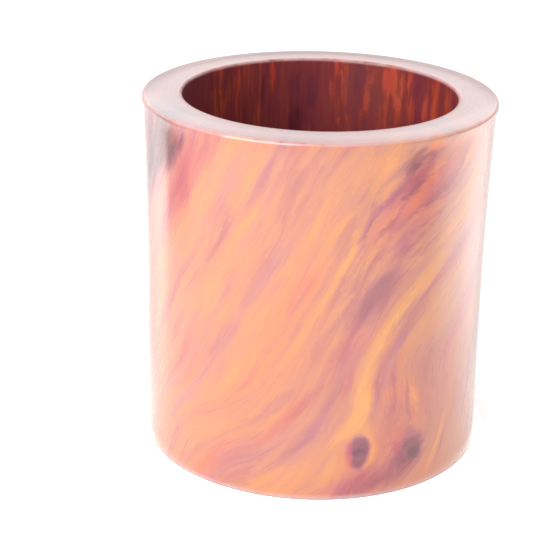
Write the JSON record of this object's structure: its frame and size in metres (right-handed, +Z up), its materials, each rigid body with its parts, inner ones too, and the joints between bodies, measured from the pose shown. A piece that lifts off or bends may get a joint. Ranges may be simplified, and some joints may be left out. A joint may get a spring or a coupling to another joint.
{
  "type": "calligraphy brush pot",
  "caption": "Round turned hardwood brush pot with thick waisted wall, rounded lip, let-in floor board and tapered centre plug.",
  "frame": {"origin": "centre of the foot ring's underside, on the pot's axis, where the pot stands", "axes": "+Z up along the pot's axis, through the middle of the mouth; -Y is the side with the two knots near the foot and the diagonal figure, and +X is to the right seen from there"},
  "size_m": [0.1464, 0.1464, 0.15],
  "materials": {
    "figured_heartwood": "high polish over clear lacquer, diagonal orange and dark red figure with knots",
    "plain_heartwood": "satin, waxed, darkened with age",
    "plug_wood": "satin, end grain, waxed"
  },
  "bodies": {
    "root": {"pot_wall": "figured_heartwood", "base_board": "plain_heartwood", "base_plug": "plug_wood"}
  },
  "joints": []
}
